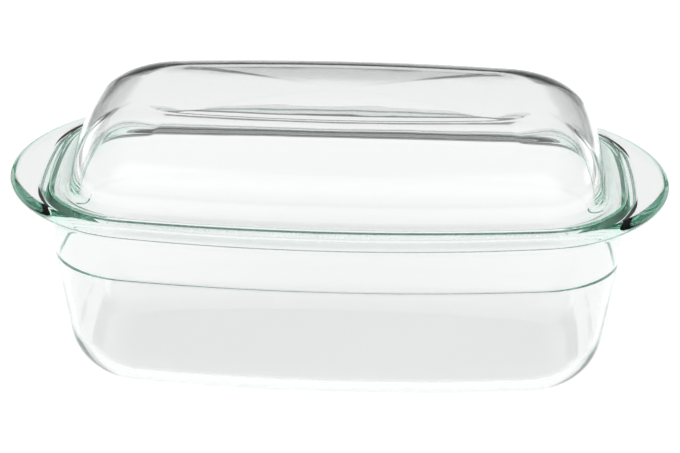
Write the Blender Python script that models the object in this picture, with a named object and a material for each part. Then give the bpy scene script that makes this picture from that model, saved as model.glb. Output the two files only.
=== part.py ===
"""Clear glass roasting dish with a lift-off domed lid.

Metres, +Z up: X runs along the length, Y across the width, and the origin is the middle of the
base. Each piece is one closed loft of oval rings. The rings follow the section of the glass from
the middle of its underside, round the edge, to the middle of its top side.
"""
import math

import bmesh
import bpy

MM = 0.001

# Ring resolution: steps along a side arc, a corner arc and an end arc, each in one quarter.
SIDE_STEPS = 3
CORNER_STEPS = 7
END_STEPS = 4

# Section resolution: steps round each arc of the section.
FOOT_STEPS = 6
FILLET_STEPS = 3
EDGE_STEPS = 6
LIP_STEPS = 2
SHOULDER_STEPS = 8
CROWN_STEPS = 4
FLARE_STEPS = 4

# Dish: heights above the table.
RIM_TOP = 115.5 * MM
SEAT_DEPTH = 5.5 * MM
LEDGE_TOP = 78 * MM
LEDGE_DROP = 3 * MM
FLOOR_TOP = 4.5 * MM

# Dish: insets from the outside of the wall at the height of the rim, drafts and radii.
WALL_DRAFT = 0.155
UPPER_INNER_DRAFT = 0.07
FOOT_RADIUS = 32.5 * MM
INNER_FOOT_RADIUS = 30 * MM
SEAT_OUTER_INSET = 3.5 * MM
SEAT_INNER_INSET = 7 * MM
LIP_RADIUS = 0.5 * MM
LEDGE_WIDTH = 1.2 * MM

# Rim and the two crescent handles: one plate, with a fillet under it that is deeper at the handles.
RIM_THICKNESS = 7.6 * MM
HANDLE_ROOT = 4 * MM
HANDLE_START = 118 * MM
RIM_EDGE_DEPTH = 4.7 * MM
RIM_EDGE_TURN = math.radians(70)
RIM_FILLET_WIDTH = 5 * MM
RIM_FILLET_HEIGHT = 9 * MM

# Lid.
SEAT_GAP = 0.3 * MM
SEAT_PLAY = 0.6 * MM
FLANGE_THICKNESS = 5.2 * MM
FLANGE_EDGE_DEPTH = 0.8 * MM
FLARE_INSET = 6 * MM
FLARE_HEIGHT = 5 * MM
MOUTH_INSET = 12 * MM
MOUTH_HEIGHT = 9 * MM
LID_THICKNESS = 4.5 * MM
SHOULDER_HEIGHT = 42 * MM
LID_EDGE_HEIGHT = 52.5 * MM
LID_CROWN = 2.5 * MM


class Oval:
    """A symmetrical outline of eight arcs: two sides, two ends and four corners."""

    def __init__(self, half_length, half_width, side_radius, end_radius, corner_radius):
        self.half_length = half_length
        self.half_width = half_width
        self.side_radius = side_radius
        self.end_radius = end_radius
        self.corner_radius = corner_radius

    def sizes(self):
        return (self.half_length, self.half_width, self.side_radius, self.end_radius, self.corner_radius)

    def inset(self, distance):
        """The outline moved inwards by the same distance all round."""
        return Oval(*(size - distance for size in self.sizes()))

    def scaled(self, factor):
        return Oval(*(size * factor for size in self.sizes()))

    def blend(self, other, share):
        """The outline that is a share of the way to another one."""
        return Oval(*(a + (b - a) * share for a, b in zip(self.sizes(), other.sizes())))

    def quarter(self):
        """Points from the +X tip to the middle of the +Y side, along three arcs that touch."""
        end_x = self.half_length - self.end_radius
        side_y = self.half_width - self.side_radius
        end_reach = self.end_radius - self.corner_radius
        side_reach = self.side_radius - self.corner_radius
        span = math.hypot(end_x, side_y)
        along = (side_reach ** 2 - end_reach ** 2 + span ** 2) / (2 * span)
        across = math.sqrt(side_reach ** 2 - along ** 2)
        corner_x = (end_x * along - side_y * across) / span
        corner_y = side_y - (side_y * along + end_x * across) / span
        end_turn = math.atan2(corner_y, corner_x - end_x)
        side_turn = math.atan2(corner_y - side_y, corner_x)
        points = []
        for angle in spread(0, end_turn, END_STEPS)[:-1]:
            points.append(on_circle(end_x, 0, self.end_radius, angle))
        for angle in spread(end_turn, side_turn, CORNER_STEPS)[:-1]:
            points.append(on_circle(corner_x, corner_y, self.corner_radius, angle))
        for angle in spread(side_turn, math.pi / 2, SIDE_STEPS):
            points.append(on_circle(0, side_y, self.side_radius, angle))
        return points

    def outline(self):
        """The whole outline, anticlockwise from the +X tip."""
        quarter = self.quarter()
        half = quarter + [(-x, y) for x, y in reversed(quarter[:-1])]
        return half + [(x, -y) for x, y in reversed(half[1:-1])]


def spread(start, end, steps):
    return [start + (end - start) * step / steps for step in range(steps + 1)]


def on_circle(centre_x, centre_y, radius, angle):
    return (centre_x + radius * math.cos(angle), centre_y + radius * math.sin(angle))


def oval_mm(half_length, half_width, side_radius, end_radius, corner_radius):
    return Oval(half_length, half_width, side_radius, end_radius, corner_radius).scaled(MM)


RIM = oval_mm(190, 108, 666, 107, 82)
WALL = oval_mm(168.5, 96, 820, 420, 58)
LID_WALL = oval_mm(151.7, 85.7, 819, 419, 44)
LID_TOP = oval_mm(111.5, 43.5, 820, 160, 22.5)


def ring(oval, height, drop=0):
    """One loft ring; towards the handles, drop slides it down the drafted wall."""
    points = []
    for x, y in oval.outline():
        reach = min(max((abs(x) - HANDLE_START) / (RIM.half_length - HANDLE_START), 0), 1)
        lower = drop * reach ** 2 * (3 - 2 * reach)
        points.append((x - math.copysign(WALL_DRAFT * lower, x), y, height - lower))
    return points


def foot_rings(base, draft, radius, wall_inset, wall_height, bottom):
    """Rings of the round foot of a drafted wall, from its flat bottom up to the wall.

    The wall passes through wall_inset at wall_height.
    """
    lean = math.atan(draft)
    touch_height = bottom + radius * (1 - math.sin(lean))
    centre_inset = wall_inset + draft * (wall_height - touch_height) + radius * math.cos(lean)
    rings = []
    for angle in spread(0, math.pi / 2 - lean, FOOT_STEPS):
        oval = base.inset(centre_inset - radius * math.sin(angle))
        rings.append(ring(oval, bottom + radius * (1 - math.cos(angle))))
    return rings


def edge_rings(oval, depth, bottom, top, turn):
    """A round outer edge, from its underside to its top, that turns by an angle either side of level."""
    middle = (bottom + top) / 2
    half = (top - bottom) / 2
    rings = []
    for angle in spread(-turn, turn, EDGE_STEPS):
        inset = depth * (1 - math.cos(angle)) / (1 - math.cos(turn))
        rings.append(ring(oval.inset(inset), middle + half * math.sin(angle) / math.sin(turn)))
    return rings


def lip_rings(oval, height):
    """A small rounded lip where a level face turns down into the mouth."""
    rings = []
    for angle in spread(math.pi / 2, 0, LIP_STEPS):
        edge = oval.inset(-LIP_RADIUS * (1 - math.cos(angle)))
        rings.append(ring(edge, height - LIP_RADIUS * (1 - math.sin(angle))))
    return rings


def rim_rings():
    """The fillet under the rim, then the edge of the rim plate and handles."""
    under = RIM_TOP - RIM_THICKNESS
    start = math.atan(WALL_DRAFT * RIM_FILLET_HEIGHT / RIM_FILLET_WIDTH)
    centre_height = under - RIM_FILLET_HEIGHT
    touch_height = centre_height + RIM_FILLET_HEIGHT * math.sin(start)
    centre_inset = WALL_DRAFT * (RIM_TOP - touch_height) - RIM_FILLET_WIDTH * math.cos(start)
    rings = []
    for angle in spread(start, math.pi / 2, FILLET_STEPS):
        oval = WALL.inset(centre_inset + RIM_FILLET_WIDTH * math.cos(angle))
        height = centre_height + RIM_FILLET_HEIGHT * math.sin(angle)
        rings.append(ring(oval, height, HANDLE_ROOT * (1 - math.sin(angle))))
    return rings + edge_rings(RIM, RIM_EDGE_DEPTH, under, RIM_TOP, RIM_EDGE_TURN)


def seat_rings():
    """The recess in the mouth that holds the flange of the lid."""
    seat = RIM_TOP - SEAT_DEPTH
    outer = WALL.inset(SEAT_OUTER_INSET)
    inner = WALL.inset(SEAT_INNER_INSET)
    return lip_rings(outer, RIM_TOP) + [ring(outer, seat)] + lip_rings(inner, seat)


def inside_rings():
    """The inner wall down to the ledge, the ledge, and the lower wall and its round foot."""
    wall_start = RIM_TOP - SEAT_DEPTH - LIP_RADIUS
    above_ledge = SEAT_INNER_INSET + UPPER_INNER_DRAFT * (wall_start - LEDGE_TOP)
    below_ledge = above_ledge + LEDGE_WIDTH
    ledge_foot = LEDGE_TOP - LEDGE_DROP
    rings = [ring(WALL.inset(above_ledge), LEDGE_TOP)]
    rings.append(ring(WALL.inset(below_ledge), ledge_foot))
    foot = foot_rings(WALL, WALL_DRAFT, INNER_FOOT_RADIUS, below_ledge, ledge_foot, FLOOR_TOP)
    return rings + foot[::-1]


def dish_rings():
    outside = foot_rings(WALL, WALL_DRAFT, FOOT_RADIUS, 0, RIM_TOP, 0)
    return outside + rim_rings() + seat_rings() + inside_rings()


def lid_wall(angle):
    """Outline and height of the outside of the shoulder, from upright (0) to level (a right angle)."""
    oval = LID_WALL.blend(LID_TOP, 1 - math.cos(angle))
    return oval, LID_EDGE_HEIGHT - SHOULDER_HEIGHT * (1 - math.sin(angle))


def crown_rings(edge, height):
    """The slightly domed top, from its edge to a small middle."""
    rings = []
    for step in range(1, CROWN_STEPS):
        share = 1 - step / CROWN_STEPS
        rings.append(ring(edge.scaled(share), height + LID_CROWN * (1 - share ** 2)))
    return rings


def lid_inside_rings():
    """The inside of the lid, from the middle of its ceiling down to its flared mouth."""
    ceiling = LID_EDGE_HEIGHT - LID_THICKNESS
    rings = crown_rings(LID_TOP, ceiling)[::-1]
    for angle in spread(math.pi / 2, 0, SHOULDER_STEPS):
        oval, height = lid_wall(angle)
        inner = oval.inset(LID_THICKNESS * math.cos(angle))
        rings.append(ring(inner, height - LID_THICKNESS * math.sin(angle)))
    wall = LID_WALL.inset(LID_THICKNESS)
    mouth = WALL.inset(MOUTH_INSET)
    for angle in spread(0, -math.pi / 2, FLARE_STEPS):
        oval = wall.blend(mouth, 1 - math.cos(angle))
        rings.append(ring(oval, MOUTH_HEIGHT * (1 + math.sin(angle))))
    return rings


def lid_outside_rings():
    """The outside of the lid, from the top of its flare up to the middle of its top."""
    rings = []
    for angle in spread(0, math.pi / 2, SHOULDER_STEPS):
        oval, height = lid_wall(angle)
        rings.append(ring(oval, height))
    return rings + crown_rings(LID_TOP, LID_EDGE_HEIGHT)


def flange_rings():
    """The edge of the flange and the flare that joins its top to the lid wall."""
    outer = WALL.inset(SEAT_OUTER_INSET + SEAT_PLAY)
    flare = WALL.inset(FLARE_INSET)
    rings = edge_rings(outer, FLANGE_EDGE_DEPTH, 0, FLANGE_THICKNESS, math.pi / 2)
    for angle in spread(math.pi / 2, 0, FLARE_STEPS):
        oval = LID_WALL.blend(flare, 1 - math.cos(angle))
        rings.append(ring(oval, FLANGE_THICKNESS + FLARE_HEIGHT * (1 - math.sin(angle))))
    return rings


def lid_rings():
    """The lid, with heights above the underside of its flange."""
    return lid_inside_rings() + flange_rings() + lid_outside_rings()


def loft(name, rings, collection, material):
    """One closed object through the rings, with a flat face on the first and the last."""
    mesh = bpy.data.meshes.new(name)
    build = bmesh.new()
    loops = [[build.verts.new(point) for point in points] for points in rings]
    build.faces.new(reversed(loops[0]))
    for lower, upper in zip(loops, loops[1:]):
        for index in range(len(lower)):
            behind = index - 1
            build.faces.new((lower[behind], lower[index], upper[index], upper[behind]))
    build.faces.new(loops[-1])
    build.to_mesh(mesh)
    build.free()
    mesh.shade_smooth()
    mesh.set_sharp_from_angle(angle=math.radians(40))
    mesh.materials.append(material)
    piece = bpy.data.objects.new(name, mesh)
    collection.objects.link(piece)
    return piece


def glass(name, colour, roughness):
    material = bpy.data.materials.new(name)
    material.use_nodes = True
    shader = material.node_tree.nodes["Principled BSDF"]
    shader.inputs["Base Color"].default_value = (*colour, 1)
    shader.inputs["Roughness"].default_value = roughness
    shader.inputs["Metallic"].default_value = 0
    shader.inputs["IOR"].default_value = 1.47
    shader.inputs["Transmission Weight"].default_value = 1
    return material


def main():
    for item in list(bpy.data.objects):
        bpy.data.objects.remove(item)
    collection = bpy.data.collections.new("glass_roaster")
    bpy.context.scene.collection.children.link(collection)
    dish = loft("dish", dish_rings(), collection, glass("dish_glass", (0.80, 0.90, 0.86), 0.02))
    lid = loft("lid", lid_rings(), collection, glass("lid_glass", (0.84, 0.92, 0.89), 0.02))
    lid.location = (0, 0, RIM_TOP - SEAT_DEPTH + SEAT_GAP)
    lid.parent = dish


main()
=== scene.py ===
"""Looks of the covered glass roaster: smooth pressed glass, a pale floor and soft studio light.

The two glass pieces repeat the section of the solid model at a much finer step. Their overall
sizes come from the frame, and the sizes that shape the section are in millimetres below.
"""
import math

import bmesh
import bpy
from mathutils import Matrix, Vector


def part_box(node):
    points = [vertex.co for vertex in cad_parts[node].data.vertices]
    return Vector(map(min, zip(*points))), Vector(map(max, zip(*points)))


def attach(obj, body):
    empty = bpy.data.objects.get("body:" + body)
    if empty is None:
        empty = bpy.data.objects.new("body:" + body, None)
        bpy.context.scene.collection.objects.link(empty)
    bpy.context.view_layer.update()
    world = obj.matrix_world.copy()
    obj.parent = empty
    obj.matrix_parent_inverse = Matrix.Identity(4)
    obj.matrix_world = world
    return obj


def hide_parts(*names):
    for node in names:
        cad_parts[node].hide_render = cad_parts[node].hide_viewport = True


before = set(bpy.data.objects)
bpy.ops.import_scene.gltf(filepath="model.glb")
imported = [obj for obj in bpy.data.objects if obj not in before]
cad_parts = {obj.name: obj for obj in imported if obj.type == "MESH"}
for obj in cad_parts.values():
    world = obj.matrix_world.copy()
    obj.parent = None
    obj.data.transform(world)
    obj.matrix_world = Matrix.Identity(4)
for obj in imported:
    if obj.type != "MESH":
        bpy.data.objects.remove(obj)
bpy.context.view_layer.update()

MM = 0.001
RIGHT_ANGLE = math.pi / 2

DISH_LOW, DISH_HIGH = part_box("dish")
LID_LOW, LID_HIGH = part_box("lid")

# Ring resolution, in steps per quarter.
SIDE_STEPS = 16
CORNER_STEPS = 28
END_STEPS = 18

# Section resolution.
FOOT_STEPS = 24
FILLET_STEPS = 10
EDGE_STEPS = 18
LIP_STEPS = 6
SHOULDER_STEPS = 36
CROWN_STEPS = 14
FLARE_STEPS = 14
WALL_STEPS = 14

# Dish.
RIM_TOP = DISH_HIGH.z
SEAT_DEPTH = 5.5 * MM
LEDGE_TOP = 78 * MM
LEDGE_DROP = 3 * MM
FLOOR_TOP = 4.5 * MM
WALL_DRAFT = 0.155
UPPER_INNER_DRAFT = 0.07
FOOT_RADIUS = 32.5 * MM
INNER_FOOT_RADIUS = 30 * MM
SEAT_OUTER_INSET = 3.5 * MM
SEAT_INNER_INSET = 7 * MM
LIP_RADIUS = 0.5 * MM
LEDGE_WIDTH = 1.2 * MM
RIM_THICKNESS = 7.6 * MM
HANDLE_ROOT = 4 * MM
HANDLE_START = 118 * MM
RIM_EDGE_DEPTH = 4.7 * MM
RIM_EDGE_TURN = math.radians(70)
CREASE = 0.25 * MM
RIM_FILLET_WIDTH = 5 * MM
RIM_FILLET_HEIGHT = 9 * MM

# Lid.
SEAT_PLAY = 0.6 * MM
FLANGE_THICKNESS = 5.2 * MM
FLANGE_EDGE_DEPTH = 0.8 * MM
FLARE_INSET = 6 * MM
FLARE_HEIGHT = 5 * MM
MOUTH_INSET = 12 * MM
MOUTH_HEIGHT = 9 * MM
LID_THICKNESS = 4.5 * MM
SHOULDER_HEIGHT = 42 * MM
LID_CROWN = 2.5 * MM
LID_EDGE_HEIGHT = LID_HIGH.z - LID_LOW.z - LID_CROWN


class Oval:
    """A symmetrical outline of eight arcs: two sides, two ends and four corners."""

    def __init__(self, half_length, half_width, side_radius, end_radius, corner_radius):
        self.half_length = half_length
        self.half_width = half_width
        self.side_radius = side_radius
        self.end_radius = end_radius
        self.corner_radius = corner_radius

    def sizes(self):
        return (self.half_length, self.half_width, self.side_radius, self.end_radius, self.corner_radius)

    def inset(self, distance):
        """The outline moved inwards by the same distance all round."""
        return Oval(*(size - distance for size in self.sizes()))

    def scaled(self, factor):
        return Oval(*(size * factor for size in self.sizes()))

    def blend(self, other, share):
        """The outline that is a share of the way to another one."""
        return Oval(*(a + (b - a) * share for a, b in zip(self.sizes(), other.sizes())))

    def quarter(self):
        """Points from the +X tip to the middle of the +Y side, along three arcs that touch."""
        end_x = self.half_length - self.end_radius
        side_y = self.half_width - self.side_radius
        end_reach = self.end_radius - self.corner_radius
        side_reach = self.side_radius - self.corner_radius
        span = math.hypot(end_x, side_y)
        along = (side_reach ** 2 - end_reach ** 2 + span ** 2) / (2 * span)
        across = math.sqrt(side_reach ** 2 - along ** 2)
        corner_x = (end_x * along - side_y * across) / span
        corner_y = side_y - (side_y * along + end_x * across) / span
        end_turn = math.atan2(corner_y, corner_x - end_x)
        side_turn = math.atan2(corner_y - side_y, corner_x)
        points = []
        for angle in spread(0, end_turn, END_STEPS)[:-1]:
            points.append(on_circle(end_x, 0, self.end_radius, angle))
        for angle in spread(end_turn, side_turn, CORNER_STEPS)[:-1]:
            points.append(on_circle(corner_x, corner_y, self.corner_radius, angle))
        for angle in spread(side_turn, RIGHT_ANGLE, SIDE_STEPS):
            points.append(on_circle(0, side_y, self.side_radius, angle))
        return points

    def outline(self):
        """The whole outline, anticlockwise from the +X tip."""
        quarter = self.quarter()
        half = quarter + [(-x, y) for x, y in reversed(quarter[:-1])]
        return half + [(x, -y) for x, y in reversed(half[1:-1])]


def spread(start, end, steps):
    return [start + (end - start) * step / steps for step in range(steps + 1)]


def on_circle(centre_x, centre_y, radius, angle):
    return (centre_x + radius * math.cos(angle), centre_y + radius * math.sin(angle))


RIM = Oval(DISH_HIGH.x, DISH_HIGH.y, 666 * MM, 107 * MM, 82 * MM)
WALL = Oval(168.5 * MM, 96 * MM, 820 * MM, 420 * MM, 58 * MM)
LID_WALL = Oval(151.7 * MM, 85.7 * MM, 819 * MM, 419 * MM, 44 * MM)
LID_TOP = Oval(111.5 * MM, 43.5 * MM, 820 * MM, 160 * MM, 22.5 * MM)


def ring(oval, height, drop=0, edge=0):
    """One loft ring, as corners of x, y, z and edge.

    Towards the handles, drop slides the ring down the drafted wall, and edge, the share of painted green
    shade that stands in for light lost where thick glass is seen through its depth, comes in.
    """
    corners = []
    for x, y in oval.outline():
        reach = min(max((abs(x) - HANDLE_START) / (RIM.half_length - HANDLE_START), 0), 1)
        ease = reach ** 2 * (3 - 2 * reach)
        lower = drop * ease
        corners.append((x - math.copysign(WALL_DRAFT * lower, x), y, height - lower, edge * ease))
    return corners


def straight_rings(base, first, last, drop=0):
    """Rings between two (inset, height) pairs, without the ends; drop grows towards the last."""
    rings = []
    for share in spread(0, 1, WALL_STEPS)[1:-1]:
        inset = first[0] + (last[0] - first[0]) * share
        rings.append(ring(base.inset(inset), first[1] + (last[1] - first[1]) * share, drop * share))
    return rings


def foot_rings(base, draft, radius, wall_inset, wall_height, bottom, drop=0):
    """Rings of the round foot of a drafted wall and of the wall, from the flat bottom up.

    The wall ends at wall_inset and wall_height, lowered by drop at the handles.
    """
    lean = math.atan(draft)
    touch_height = bottom + radius * (1 - math.sin(lean))
    touch_inset = wall_inset + draft * (wall_height - touch_height)
    rings = []
    for angle in spread(0, RIGHT_ANGLE - lean, FOOT_STEPS):
        inset = touch_inset + radius * (math.cos(lean) - math.sin(angle))
        rings.append(ring(base.inset(inset), bottom + radius * (1 - math.cos(angle))))
    touch = (touch_inset, touch_height)
    return rings + straight_rings(base, touch, (wall_inset, wall_height), drop)


def edge_rings(oval, depth, bottom, top, turn):
    """A round outer edge, from its underside to its top, that turns by an angle either side of level."""
    middle = (bottom + top) / 2
    half = (top - bottom) / 2
    rings = []
    for angle in spread(-turn, turn, EDGE_STEPS):
        inset = depth * (1 - math.cos(angle)) / (1 - math.cos(turn))
        height = middle + half * math.sin(angle) / math.sin(turn)
        # Painted green shade: strongest at the outermost part of the round edge.
        rings.append(ring(oval.inset(inset), height, 0, 1 - (inset / depth) ** 2))
    return rings


def rim_rings():
    """The edge of the rim and handles, with a small crease on both faces where it begins."""
    bottom = RIM_TOP - RIM_THICKNESS
    crease = RIM.inset(RIM_EDGE_DEPTH + CREASE)
    edge = edge_rings(RIM, RIM_EDGE_DEPTH, bottom, RIM_TOP, RIM_EDGE_TURN)
    return [ring(crease, bottom)] + edge + [ring(crease, RIM_TOP)]


def lip_rings(oval, height):
    """A small rounded lip where a level face turns down into the mouth."""
    rings = []
    for angle in spread(RIGHT_ANGLE, 0, LIP_STEPS):
        edge = oval.inset(-LIP_RADIUS * (1 - math.cos(angle)))
        rings.append(ring(edge, height - LIP_RADIUS * (1 - math.sin(angle))))
    return rings


def rim_fillet():
    """The end of the wall where it runs into the fillet under the rim, and the rings of the fillet.

    The end is the inset, the height, the bottom of the wall and the extra drop at the handles.
    """
    start = math.atan(WALL_DRAFT * RIM_FILLET_HEIGHT / RIM_FILLET_WIDTH)
    centre_height = RIM_TOP - RIM_THICKNESS - RIM_FILLET_HEIGHT
    touch_height = centre_height + RIM_FILLET_HEIGHT * math.sin(start)
    touch_inset = WALL_DRAFT * (RIM_TOP - touch_height)
    rings = []
    for angle in spread(start, RIGHT_ANGLE, FILLET_STEPS):
        inset = touch_inset + RIM_FILLET_WIDTH * (math.cos(angle) - math.cos(start))
        height = centre_height + RIM_FILLET_HEIGHT * math.sin(angle)
        drop = HANDLE_ROOT * (1 - math.sin(angle))
        # Painted shade: strongest in the middle of the fillet under the rim.
        rings.append(ring(WALL.inset(inset), height, drop, math.sin(2 * angle)))
    return (touch_inset, touch_height, 0, HANDLE_ROOT * (1 - math.sin(start))), rings


def seat_rings():
    """The recess in the mouth that holds the flange of the lid."""
    seat = RIM_TOP - SEAT_DEPTH
    outer = WALL.inset(SEAT_OUTER_INSET)
    inner = WALL.inset(SEAT_INNER_INSET)
    return lip_rings(outer, RIM_TOP) + [ring(outer, seat)] + lip_rings(inner, seat)


def inside_rings():
    """The inner wall down to the ledge, the ledge, and the lower wall and its round foot."""
    wall_start = RIM_TOP - SEAT_DEPTH - LIP_RADIUS
    above_ledge = SEAT_INNER_INSET + UPPER_INNER_DRAFT * (wall_start - LEDGE_TOP)
    below_ledge = above_ledge + LEDGE_WIDTH
    ledge_foot = LEDGE_TOP - LEDGE_DROP
    upper = straight_rings(WALL, (SEAT_INNER_INSET, wall_start), (above_ledge, LEDGE_TOP))
    ledge = []
    for share in spread(0, 1, LIP_STEPS):
        inset = above_ledge + LEDGE_WIDTH * share ** 2 * (3 - 2 * share)
        ledge.append(ring(WALL.inset(inset), LEDGE_TOP - LEDGE_DROP * share))
    foot = foot_rings(WALL, WALL_DRAFT, INNER_FOOT_RADIUS, below_ledge, ledge_foot, FLOOR_TOP)
    return upper + ledge + foot[::-1]


def dish_rings():
    wall_end, fillet = rim_fillet()
    outside = foot_rings(WALL, WALL_DRAFT, FOOT_RADIUS, *wall_end)
    return outside + fillet + rim_rings() + seat_rings() + inside_rings()


def lid_wall(angle):
    """Outline and height of the outside of the shoulder, from upright (0) to level."""
    oval = LID_WALL.blend(LID_TOP, 1 - math.cos(angle))
    return oval, LID_EDGE_HEIGHT - SHOULDER_HEIGHT * (1 - math.sin(angle))


def crown_rings(edge, height):
    """The slightly domed top, from its edge to a small middle."""
    rings = []
    for step in range(1, CROWN_STEPS):
        share = 1 - step / CROWN_STEPS
        rings.append(ring(edge.scaled(share), height + LID_CROWN * (1 - share ** 2)))
    return rings


def lid_inside_rings():
    """The inside of the lid, from the middle of its ceiling down to its flared mouth."""
    rings = crown_rings(LID_TOP, LID_EDGE_HEIGHT - LID_THICKNESS)[::-1]
    for angle in spread(RIGHT_ANGLE, 0, SHOULDER_STEPS):
        oval, height = lid_wall(angle)
        inner = oval.inset(LID_THICKNESS * math.cos(angle))
        rings.append(ring(inner, height - LID_THICKNESS * math.sin(angle)))
    wall = LID_WALL.inset(LID_THICKNESS)
    mouth = WALL.inset(MOUTH_INSET)
    for angle in spread(0, -RIGHT_ANGLE, FLARE_STEPS):
        oval = wall.blend(mouth, 1 - math.cos(angle))
        rings.append(ring(oval, MOUTH_HEIGHT * (1 + math.sin(angle))))
    return rings


def flange_rings():
    """The edge of the flange and the flare that joins its top to the lid wall."""
    outer = WALL.inset(SEAT_OUTER_INSET + SEAT_PLAY)
    flare = WALL.inset(FLARE_INSET)
    rings = edge_rings(outer, FLANGE_EDGE_DEPTH, 0, FLANGE_THICKNESS, RIGHT_ANGLE)
    for angle in spread(RIGHT_ANGLE, 0, FLARE_STEPS):
        oval = LID_WALL.blend(flare, 1 - math.cos(angle))
        height = FLANGE_THICKNESS + FLARE_HEIGHT * (1 - math.sin(angle))
        # Painted shade: strongest in the middle of the flare.
        rings.append(ring(oval, height, 0, math.sin(2 * angle)))
    return rings


def lid_outside_rings():
    """The outside of the lid, from the top of its flare up to the middle of its top."""
    rings = []
    for angle in spread(0, RIGHT_ANGLE, SHOULDER_STEPS):
        oval, height = lid_wall(angle)
        rings.append(ring(oval, height))
    return rings + crown_rings(LID_TOP, LID_EDGE_HEIGHT)


def lid_rings():
    """The lid, with heights above the underside of its flange."""
    return lid_inside_rings() + flange_rings() + lid_outside_rings()


def loft(name, rings, lift):
    """One closed mesh object through the rings, with a flat face on the first and the last."""
    mesh = bpy.data.meshes.new(name)
    build = bmesh.new()
    # The edge attribute holds the share of painted green shade at each vertex.
    depth = build.verts.layers.float.new("edge")
    loops = []
    for corners in rings:
        loop = [build.verts.new((x, y, z + lift)) for x, y, z, edge in corners]
        for vertex, corner in zip(loop, corners):
            vertex[depth] = corner[3]
        loops.append(loop)
    build.faces.new(reversed(loops[0]))
    for lower, upper in zip(loops, loops[1:]):
        for index in range(len(lower)):
            behind = index - 1
            build.faces.new((lower[behind], lower[index], upper[index], upper[behind]))
    build.faces.new(loops[-1])
    build.to_mesh(mesh)
    build.free()
    mesh.shade_smooth()
    piece = bpy.data.objects.new(name, mesh)
    bpy.context.scene.collection.objects.link(piece)
    return piece


# Materials.

# Glass: what a metre of it absorbs, and the painted green shade on edges and fillets, which stands in for
# light lost where an edge is seen through its depth.
GLASS_IOR = 1.47
GLASS_TINT = (0.86, 0.95, 0.92)
GLASS_DEPTH = 16
PAINTED_EDGE_SHADE = (0.62, 0.94, 0.82)

# Share of the light that the plain faces of each piece let through.
DISH_CLARITY = 0.955
LID_CLARITY = 0.975

# Faint haze, as a roughness that comes and goes.
HAZE_SCALE = 22
HAZE_START = 0.35
HAZE_END = 0.75
HAZE_ROUGHNESS = 0.03

# Shallow ripples left by the pressing.
RIPPLE_SCALE = 30
RIPPLE_STRENGTH = 0.35
RIPPLE_HEIGHT = 0.4 * MM

# Pattern offsets, so that the two pieces differ.
DISH_SEED = 1.0
LID_SEED = 4.0

# Table.
TABLE_GREY = 0.86
TABLE_ROUGHNESS = 0.9
TABLE_SPECULAR = 0.1
# Painted light: the table glows by itself, evenly out to the reach and fading to none at the end.
PAINTED_TABLE_GLOW = 0.76
PAINTED_GLOW_REACH = 0.80
PAINTED_GLOW_END = 1.0


def glass(name, seed, clarity):
    """Clear pressed glass: uneven surface, faint haze, and painted green shade on edges and fillets for the
    green where it is seen through its depth.

    Seed shifts its patterns, and clarity is the share of the light that its plain faces let through.
    """
    material = bpy.data.materials.new(name)
    material.use_nodes = True
    nodes = material.node_tree.nodes
    links = material.node_tree.links
    shader = nodes["Principled BSDF"]
    shader.inputs["Metallic"].default_value = 0
    shader.inputs["IOR"].default_value = GLASS_IOR
    shader.inputs["Transmission Weight"].default_value = 1
    place = nodes.new("ShaderNodeTexCoord")
    shift = nodes.new("ShaderNodeMapping")
    shift.inputs["Location"].default_value = (seed, seed * 0.7, seed * 1.3)
    links.new(place.outputs["Object"], shift.inputs["Vector"])
    # Painted green shade on edges and fillets, blended in by the edge attribute.
    edge = nodes.new("ShaderNodeAttribute")
    edge.attribute_name = "edge"
    shade = nodes.new("ShaderNodeValToRGB")
    shade.color_ramp.elements[0].color = (clarity, clarity, clarity, 1)
    shade.color_ramp.elements[1].color = (*PAINTED_EDGE_SHADE, 1)
    links.new(edge.outputs["Fac"], shade.inputs["Fac"])
    links.new(shade.outputs["Color"], shader.inputs["Base Color"])
    haze = nodes.new("ShaderNodeTexNoise")
    haze.inputs["Scale"].default_value = HAZE_SCALE
    haze.inputs["Detail"].default_value = 3
    links.new(shift.outputs["Vector"], haze.inputs["Vector"])
    haze_range = nodes.new("ShaderNodeMapRange")
    haze_range.inputs["From Min"].default_value = HAZE_START
    haze_range.inputs["From Max"].default_value = HAZE_END
    haze_range.inputs["To Min"].default_value = 0
    haze_range.inputs["To Max"].default_value = HAZE_ROUGHNESS
    links.new(haze.outputs["Fac"], haze_range.inputs["Value"])
    links.new(haze_range.outputs["Result"], shader.inputs["Roughness"])
    ripple = nodes.new("ShaderNodeTexNoise")
    ripple.inputs["Scale"].default_value = RIPPLE_SCALE
    ripple.inputs["Detail"].default_value = 1
    links.new(shift.outputs["Vector"], ripple.inputs["Vector"])
    bump = nodes.new("ShaderNodeBump")
    bump.inputs["Strength"].default_value = RIPPLE_STRENGTH
    bump.inputs["Distance"].default_value = RIPPLE_HEIGHT
    links.new(ripple.outputs["Fac"], bump.inputs["Height"])
    links.new(bump.outputs["Normal"], shader.inputs["Normal"])
    tint = nodes.new("ShaderNodeVolumeAbsorption")
    tint.inputs["Color"].default_value = (*GLASS_TINT, 1)
    tint.inputs["Density"].default_value = GLASS_DEPTH
    links.new(tint.outputs["Volume"], nodes["Material Output"].inputs["Volume"])
    return material


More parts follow.
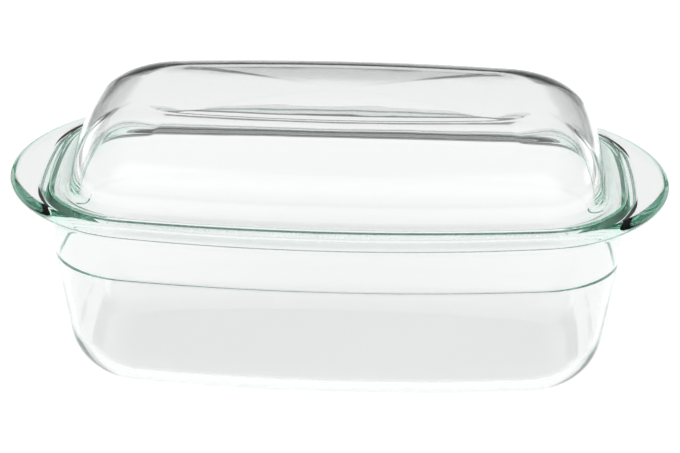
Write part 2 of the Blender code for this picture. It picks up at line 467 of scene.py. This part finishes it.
def table_paint_and_painted_glow():
    """Matt white table with painted light: it glows softly round the object and less and less further out.
    """
    material = bpy.data.materials.new("table_paint_and_painted_glow")
    material.use_nodes = True
    nodes = material.node_tree.nodes
    links = material.node_tree.links
    shader = nodes["Principled BSDF"]
    shader.inputs["Base Color"].default_value = (TABLE_GREY, TABLE_GREY, TABLE_GREY, 1)
    shader.inputs["Roughness"].default_value = TABLE_ROUGHNESS
    shader.inputs["Specular IOR Level"].default_value = TABLE_SPECULAR
    shader.inputs["Emission Color"].default_value = (1, 1, 1, 1)
    place = nodes.new("ShaderNodeTexCoord")
    reach = nodes.new("ShaderNodeVectorMath")
    reach.operation = "LENGTH"
    links.new(place.outputs["Object"], reach.inputs[0])
    # Painted light: emission strength fades from the glow near the object to none further out.
    painted_glow = nodes.new("ShaderNodeMapRange")
    painted_glow.interpolation_type = "SMOOTHSTEP"
    painted_glow.inputs["From Min"].default_value = PAINTED_GLOW_REACH
    painted_glow.inputs["From Max"].default_value = PAINTED_GLOW_END
    painted_glow.inputs["To Min"].default_value = PAINTED_TABLE_GLOW
    painted_glow.inputs["To Max"].default_value = 0
    links.new(reach.outputs["Value"], painted_glow.inputs["Value"])
    links.new(painted_glow.outputs["Result"], shader.inputs["Emission Strength"])
    return material


def add_piece(name, rings, lift, node, seed, clarity):
    piece = loft(name, rings, lift)
    piece.data.materials.append(glass(name, seed, clarity))
    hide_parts(node)
    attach(piece, node)


add_piece("dish_glass", dish_rings(), 0, "dish", DISH_SEED, DISH_CLARITY)
add_piece("lid_glass", lid_rings(), LID_LOW.z, "lid", LID_SEED, LID_CLARITY)


# Floor, light and camera.

FLOOR_HALF = 4.0
FLOOR_GAP = 0.3 * MM

# The two panels, with angles in degrees.
PANEL_DISTANCE = 2.5
PANEL_AZIMUTH = 54
PANEL_ELEVATION = 9
PANEL_WIDE = 44
PANEL_TALL = 17
PANEL_BRIGHTNESS = 1.1

# Brightness of the sky by elevation in degrees: round the sides, behind the object and in front.
SKY_AROUND = ((0, 0.4), (7, 0.4), (12, 0.1), (90, 0.3))
SKY_BEHIND = ((0, 0.1), (15, 0.02), (18, 0.5), (90, 0.3))
SKY_FRONT = ((0, 0.7), (8, 0.9), (17, 1.3), (38, 1.2), (48, 0.3))

# Where each sector of the sky comes in, as the share of the direction that lies along Y.
BEHIND_SECTOR = (0.78, 0.90)
FRONT_SECTOR = (-0.40, -0.60)


def add_floor():
    mesh = bpy.data.meshes.new("floor")
    corners = [(-1, -1), (1, -1), (1, 1), (-1, 1)]
    mesh.from_pydata([(x * FLOOR_HALF, y * FLOOR_HALF, -FLOOR_GAP) for x, y in corners], [], [(0, 1, 2, 3)])
    mesh.materials.append(table_paint_and_painted_glow())
    floor = bpy.data.objects.new("floor", mesh)
    bpy.context.scene.collection.objects.link(floor)


def aim(item, place, target, roll=0):
    """Puts item at place, looking at target along its -Z axis, turned by roll about that axis."""
    forward = (Vector(target) - Vector(place)).normalized()
    turn = forward.to_track_quat("-Z", "Y").to_matrix().to_4x4()
    item.matrix_world = Matrix.Translation(place) @ turn @ Matrix.Rotation(roll, 4, "Z")


def add_panel(name, azimuth):
    """A soft light panel beside the table, aimed at the object.

    Azimuth is in degrees: 0 is behind the object, and it turns towards +X.
    """
    turn = math.radians(azimuth)
    rise = math.radians(PANEL_ELEVATION)
    place = Vector((math.sin(turn) * math.cos(rise), math.cos(turn) * math.cos(rise), math.sin(rise)))
    light = bpy.data.lights.new(name, "AREA")
    light.shape = "RECTANGLE"
    light.size = 2 * PANEL_DISTANCE * math.tan(math.radians(PANEL_WIDE / 2))
    light.size_y = 2 * PANEL_DISTANCE * math.tan(math.radians(PANEL_TALL / 2))
    light.energy = PANEL_BRIGHTNESS * math.pi * light.size * light.size_y
    panel = bpy.data.objects.new(name, light)
    panel.visible_camera = False
    bpy.context.scene.collection.objects.link(panel)
    aim(panel, place * PANEL_DISTANCE, (0, 0, 0))


def sky_ramp(nodes, stops):
    """A grey ramp over the sine of the elevation, from (degrees, brightness) pairs."""
    ramp = nodes.new("ShaderNodeValToRGB")
    elements = ramp.color_ramp.elements
    while len(elements) < len(stops):
        elements.new(0.5)
    for element, (elevation, brightness) in zip(elements, stops):
        element.position = math.sin(math.radians(elevation))
        element.color = (brightness, brightness, brightness, 1)
    return ramp


def sky_sector(nodes, links, split, start, end):
    """A blend that is 0 before start and 1 past end, in the direction's share along Y."""
    sector = nodes.new("ShaderNodeMapRange")
    sector.interpolation_type = "SMOOTHSTEP"
    sector.inputs["From Min"].default_value = start
    sector.inputs["From Max"].default_value = end
    links.new(split.outputs["Y"], sector.inputs["Value"])
    blend = nodes.new("ShaderNodeMixRGB")
    links.new(sector.outputs["Result"], blend.inputs["Fac"])
    return blend


def add_world():
    """A bright low horizon under a dim ceiling: a wide light in front and shade behind the object."""
    world = bpy.data.worlds.new("studio")
    world.use_nodes = True
    nodes = world.node_tree.nodes
    links = world.node_tree.links
    place = nodes.new("ShaderNodeTexCoord")
    split = nodes.new("ShaderNodeSeparateXYZ")
    links.new(place.outputs["Generated"], split.inputs["Vector"])
    around = sky_ramp(nodes, SKY_AROUND)
    behind = sky_ramp(nodes, SKY_BEHIND)
    front = sky_ramp(nodes, SKY_FRONT)
    back_blend = sky_sector(nodes, links, split, *BEHIND_SECTOR)
    front_blend = sky_sector(nodes, links, split, *FRONT_SECTOR)
    for ramp in (around, behind, front):
        links.new(split.outputs["Z"], ramp.inputs["Fac"])
    links.new(around.outputs["Color"], back_blend.inputs["Color1"])
    links.new(behind.outputs["Color"], back_blend.inputs["Color2"])
    links.new(back_blend.outputs["Color"], front_blend.inputs["Color1"])
    links.new(front.outputs["Color"], front_blend.inputs["Color2"])
    links.new(front_blend.outputs["Color"], nodes["Background"].inputs["Color"])
    bpy.context.scene.world = world


VIEW_ELEVATION = math.radians(23.36)
VIEW_TURN = math.radians(2.05)
VIEW_ROLL = math.radians(0.67)
VIEW_DISTANCE = 1.4217
VIEW_TARGET_HEIGHT = 78.33 * MM
VIEW_TARGET_SIDE = 0.79 * MM
LENS = 128.8
SENSOR_WIDTH = 36


def add_camera():
    data = bpy.data.cameras.new("camera")
    data.lens = LENS
    data.sensor_width = SENSOR_WIDTH
    camera = bpy.data.objects.new("camera", data)
    bpy.context.scene.collection.objects.link(camera)
    side = Vector((math.cos(VIEW_TURN), math.sin(VIEW_TURN), 0))
    level = Vector((-math.sin(VIEW_TURN), math.cos(VIEW_TURN), 0))
    forward = level * math.cos(VIEW_ELEVATION) - Vector((0, 0, math.sin(VIEW_ELEVATION)))
    target = Vector((0, 0, VIEW_TARGET_HEIGHT)) + side * VIEW_TARGET_SIDE
    aim(camera, target - forward * VIEW_DISTANCE, target, VIEW_ROLL)
    bpy.context.scene.camera = camera


add_floor()
add_world()
add_panel("left_panel", -PANEL_AZIMUTH)
add_panel("right_panel", PANEL_AZIMUTH)
add_camera()

# Light runs a long way inside thick edges before it leaves them.
GLASS_BOUNCES = 128
DIFFUSE_BOUNCES = 6

scene = bpy.context.scene
scene.view_settings.view_transform = "Standard"
scene.cycles.max_bounces = GLASS_BOUNCES
scene.cycles.transmission_bounces = GLASS_BOUNCES
scene.cycles.glossy_bounces = GLASS_BOUNCES
scene.cycles.diffuse_bounces = DIFFUSE_BOUNCES
